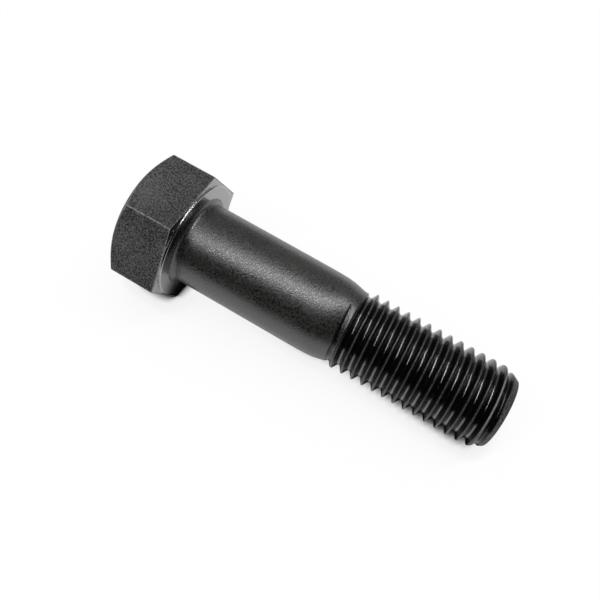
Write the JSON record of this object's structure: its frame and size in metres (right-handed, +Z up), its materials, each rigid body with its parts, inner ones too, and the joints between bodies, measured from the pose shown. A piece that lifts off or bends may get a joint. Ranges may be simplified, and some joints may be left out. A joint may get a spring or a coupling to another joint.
{
  "type": "track shoe bolt",
  "caption": "Hex-headed track shoe bolt with a plain shank, a short taper and a coarse right-hand thread, lying on a flat of its head.",
  "frame": {"origin": "middle of the bearing face under the head, on the bolt's own axis", "axes": "+X from the head towards the tip, level; +Z up; the bolt lies at rest, so its own axis falls 3.74 degrees from +X towards the tip, and the lowest flat of the head meets the floor 14.22 mm below the origin"},
  "size_m": [0.0905, 0.0328, 0.0293],
  "materials": {
    "blackened_steel": "black oxide, lightly oiled, matte on the head and glossy in the thread"
  },
  "bodies": {
    "root": {"track_shoe_bolt": "blackened_steel"}
  },
  "joints": []
}
